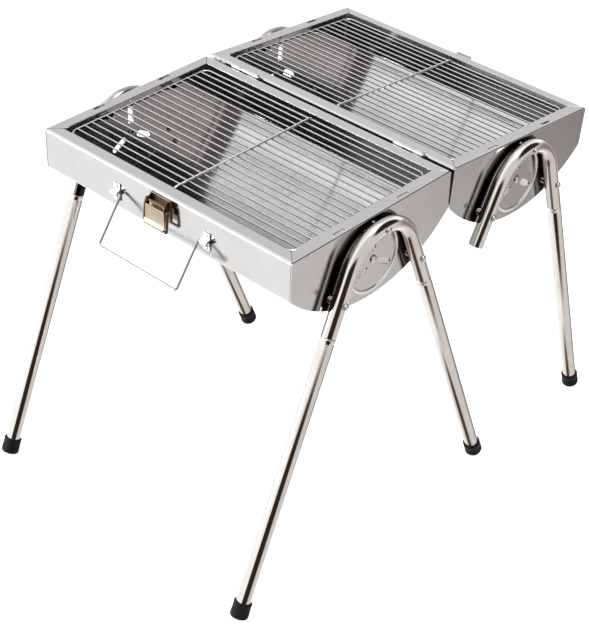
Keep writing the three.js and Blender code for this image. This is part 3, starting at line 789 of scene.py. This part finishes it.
def latch_ears():
    ear = [(wall_y(SHEET), LEVER_Z - 6), (wall_y(SHEET), LEVER_Z + 6),
           *arc(wall_y(LEVER_OUT), LEVER_Z, 3, 90, 270, 10)]
    return across(ear, *both_sides(EAR))


def latch_lever():
    """The face with its lip, and the two cheeks."""
    front = FACE_OUT + SHEET
    top = LEVER_Z - 4
    face = [(wall_y(FACE_OUT), top), (wall_y(front), top), (wall_y(front), FACE_END),
            (wall_y(front + 3), FACE_END - 4), (wall_y(front + 2), FACE_END - 5),
            (wall_y(FACE_OUT), FACE_END - 0.6)]
    inner = LOOP_OUT - WIRE_R - 1.7
    cheek = [(wall_y(front), FACE_END + 3), (wall_y(front), top),
             *arc(wall_y(LEVER_OUT), LEVER_Z, 3, 180, 0, 10),
             (wall_y(inner), top), (wall_y(inner), LOOP_Z - 6)]
    return across(face, (-LATCH_HALF, LATCH_HALF)), across(cheek, *both_sides(CHEEK))


def latch_loop():
    lean = math.radians(LOOP_LEAN)
    limb = CHEEK[1] + GAP + WIRE_R
    pivot = (wall_y(LOOP_OUT), LOOP_Z)
    bar = (wall_y(LOOP_OUT + LOOP_LENGTH * math.sin(lean)), LOOP_Z - LOOP_LENGTH * math.cos(lean))
    stops = [(-CHEEK[0], *pivot), (-limb, *pivot), (-limb, *bar), (limb, *bar), (limb, *pivot),
             (CHEEK[0], *pivot)]
    return tube(bent(stops, WIRE_R, 5), WIRE_R, 16)


def latch_pin():
    reach = CHEEK[1] + 0.2
    y = wall_y(LEVER_OUT)
    return tube([(-reach, y, LEVER_Z), (reach, y, LEVER_Z)], PIN_R, 20)


def keeper():
    back, lip, tip = GAP + SHEET, KEEPER_OUT, KEEPER_OUT + SHEET
    top, shelf, low, base = -2.8, -4, -8, -19
    hook = [(GAP, base), (back, base), (back, shelf), (lip, shelf), (lip, low), (tip, low),
            (tip, top + 1), (tip - 0.4, top + 0.3), (tip - 1, top), (GAP, top)]
    body = across([(OUTER + y, z) for y, z in hook], (-10, 10))
    turn = Matrix.Rotation(-math.pi / 2, 4, "X")
    heads = [moved(rivet(1.8, 0.9), Matrix.Translation((x, OUTER + back, -14)) @ turn) for x in (-5, 5)]
    return merged(body, *heads)


# ---- the grill ----
for half, side in HALVES:
    place = HALF_FRAME[half]
    body = f"{half}_half"
    piece(f"{half}_firebox_sheet", firebox(side), place, body, "body_steel", f"{half}_firebox",
          bevel=0.25)
    bars, crossbar = grate(side)
    piece(f"{half}_wire_grate", bars, place, f"{half}_grate", "grate_wire", f"{half}_grate",
          bevel=0.3)
    piece(f"{half}_grate_crossbar", crossbar, place, f"{half}_grate", "grate_crossbar", bevel=0.3)
    for name, end in ENDS:
        key = f"{half}_{name}"
        piece(f"{key}_end_pressing", end_plate(side, end), place, body, "end_steel", f"{key}_end_plate",
              bevel=0.25, smooth=32)
        piece(f"{key}_grate_ledges", ledges(side, end), place, body, "end_steel", bevel=0.25)
        disc, rim = vent_disc(side, end)
        shutter = f"{key}_vent_shutter"
        piece(f"{key}_vent_disc", disc, place, shutter, "end_steel", shutter)
        # The rolled rim carries a painted highlight: a lighter copy of the vent disc's steel.
        piece(f"{key}_vent_rolled_rim", rim, place, shutter, "rolled_rim_painted_highlight")
        piece(f"{key}_vent_rivet_head", vent_rivet(side, end), place, body, "fastener_steel",
              f"{key}_vent_rivet", bevel=0.2)
        piece(f"{key}_bent_tube", arch(side, end), place, body, "arch_tube", f"{key}_arch", bevel=0.3)
        for spot in ARCH_BOLTS:
            piece(f"{key}_{spot}_bolt", arch_bolt(side, end, spot), place, body, "fastener_steel",
                  f"{key}_{spot}_arch_bolt", bevel=0.15)
        piece(f"{name}_hinge_{half}_plate", hinge_leaf(side, end), place, body, "fastener_steel",
              f"{name}_hinge_{half}_leaf", bevel=0.2)
        for row, out in (("outer", 1), ("inner", -1)):
            if half == "rear" and row == "inner":
                continue
            length = leg_length(out)
            stand = place @ leg_place(side, end, out)
            leg = f"{key}_{row}_leg"
            piece(f"{leg}_tube", leg_tube(length), stand, leg, "chrome_tube", leg)
            piece(f"{key}_{row}_rubber_foot", foot(length), stand, leg, "foot_rubber",
                  f"{key}_{row}_foot")
for name, end in ENDS:
    piece(f"{name}_hinge_rod", hinge_pin(end), HINGED, "front_half", "fastener_steel", f"{name}_hinge_pin")
    piece(f"{name}_handle_saddle", saddle(end), HALF_FRAME["front"], "front_half", "saddle_plate",
          f"{name}_handle_bracket", bevel=0.25)
front, rear = HALF_FRAME["front"], HALF_FRAME["rear"]
piece("carry_handle_wire", handle(), front, "carry_handle", "handle_wire", "carry_handle", bevel=0.3)
piece("latch_base_plate", latch_plate(), front, "front_half", "latch_brass", "latch_base", bevel=0.2)
# The ears belong to the brass base plate; their dark colour is painted shade.
piece("latch_base_ears", latch_ears(), front, "front_half", "latch_bronze", bevel=0.2)
lever_face, lever_cheeks = latch_lever()
piece("latch_lever_face", lever_face, front, "latch_lever", "latch_brass", "latch_lever", bevel=0.3)
# The cheeks belong to the brass lever face; their dark colour is painted shade.
piece("latch_lever_cheeks", lever_cheeks, front, "latch_lever", "latch_bronze", bevel=0.2)
piece("latch_wire_loop", latch_loop(), front, "latch_loop", "latch_bronze", "latch_loop")
piece("latch_pivot_pin", latch_pin(), front, "front_half", "latch_bronze", "latch_pin", bevel=0.3)
piece("latch_keeper_hook", keeper(), rear, "rear_half", "latch_brass", "latch_keeper", bevel=0.2)

# ---- stage: a pale floor, seen directly but left out of reflections ----
FLOOR_R = 15.0
FLOOR_THICK = 0.02
floor_shell = turned([(FLOOR_R, -FLOOR_THICK), (FLOOR_R, 0), (0, 0)], 96)
floor_mesh = bpy.data.meshes.new("pale_floor")
floor_mesh.from_pydata([tuple(c) for c in floor_shell[0]], [], floor_shell[1])
floor = bpy.data.objects.new("pale_floor", floor_mesh)
bpy.context.scene.collection.objects.link(floor)
paint = bpy.data.materials.new("pale_floor")
paint.use_nodes = True
pale = paint.node_tree.nodes["Principled BSDF"]
pale.inputs["Base Color"].default_value = (0.85, 0.85, 0.85, 1)
pale.inputs["Roughness"].default_value = 0.9
pale.inputs["Specular IOR Level"].default_value = 0.0
pale.inputs["Emission Color"].default_value = (1, 1, 1, 1)
pale.inputs["Emission Strength"].default_value = 0.75
floor_mesh.materials.append(paint)
floor.visible_glossy = False

# ---- light: a bright room that is darker to the right ----
ROOM_STRENGTH = 1.28
BRIGHT_SIDE = (1, 0.995, 0.985, 1)
DULL_SIDE = (0.66, 0.625, 0.60, 1)
scene = bpy.context.scene
world = bpy.data.worlds.new("studio")
world.use_nodes = True
scene.world = world
tree = world.node_tree
backdrop = tree.nodes["Background"]
way = add(tree, "ShaderNodeTexCoord").outputs["Generated"]
x = add(tree, "ShaderNodeSeparateXYZ", {0: way}).outputs[0]
side_of_room = add(tree, "ShaderNodeMapRange", {"Value": x, "From Min": 0.1, "From Max": 0.5},
                   interpolation_type="SMOOTHSTEP").outputs[0]
light = blended(tree, side_of_room, BRIGHT_SIDE, DULL_SIDE)
# Darker parts of the room: direction, cosine at the edge and at the core, and the light left there.
DARK_LOBES = [
    ((0.54, 0.63, 0.56), 0.84, 0.93, (0.03, 0.03, 0.03)),
    ((0.72, -0.66, -0.2), 0.76, 0.90, (0.045, 0.028, 0.022)),
    ((0.15, -0.22, -0.96), 0.94, 0.985, (0.11, 0.075, 0.055)),
    ((0.0, 0.0, -1.0), 0.80, 0.95, (0.72, 0.69, 0.67)),
    ((0.2, 0.95, -0.25), 0.86, 0.955, (0.35, 0.33, 0.33)),
    ((-0.54, 0.63, 0.56), 0.88, 0.96, (0.70, 0.70, 0.70)),
]
for direction, edge, core, left in DARK_LOBES:
    near = add(tree, "ShaderNodeVectorMath", {0: way, 1: Vector(direction).normalized()},
               operation="DOT_PRODUCT").outputs["Value"]
    fade = add(tree, "ShaderNodeMapRange", {"Value": near, "From Min": edge, "From Max": core},
               interpolation_type="SMOOTHSTEP")
    dim = blended(tree, fade.outputs[0], (1, 1, 1, 1), rgba(left))
    light = add(tree, "ShaderNodeVectorMath", {0: light, 1: dim}, operation="MULTIPLY").outputs[0]
tree.links.new(light, backdrop.inputs["Color"])
backdrop.inputs["Strength"].default_value = ROOM_STRENGTH


def softbox(name, spot, target, size, power, color=(1, 1, 1)):
    lamp = bpy.data.lights.new(name, "AREA")
    lamp.shape = "RECTANGLE"
    lamp.size, lamp.size_y = size
    lamp.energy = power
    lamp.color = color
    made = bpy.data.objects.new(name, lamp)
    scene.collection.objects.link(made)
    made.location = spot
    made.rotation_euler = (Vector(target) - Vector(spot)).to_track_quat("-Z", "Y").to_euler()
    made.visible_camera = False
    return made


softbox("key_softbox", (-1.8, -2.4, 0.45), (0, 0, 0.3), (0.9, 0.9), 40, (1.0, 0.99, 0.97))
softbox("top_softbox", (0.3, 0.4, 2.8), (0, 0, 0.3), (1.6, 1.0), 30)

# ---- camera ----
FOCAL_MM = 94.74
SENSOR_MM = 36
ROLL, PITCH, YAW = (math.radians(a) for a in (-3.81, -55.78, -40.72))
TURN = Matrix.Rotation(ROLL, 4, "Z") @ Matrix.Rotation(PITCH, 4, "X") @ Matrix.Rotation(YAW, 4, "Z")
BACK = Vector((0.0908, 0.6237, -5.0145)) * LENGTH * MM  # the hinge's middle, seen from the camera
camera_data = bpy.data.cameras.new("camera")
camera_data.lens = FOCAL_MM
camera_data.sensor_width = SENSOR_MM
camera_data.clip_start = 0.05
camera = bpy.data.objects.new("camera", camera_data)
scene.collection.objects.link(camera)
camera.matrix_world = Matrix.Translation(AXIS) @ TURN.inverted() @ Matrix.Translation(-BACK)
scene.camera = camera
scene.view_settings.view_transform = "Standard"
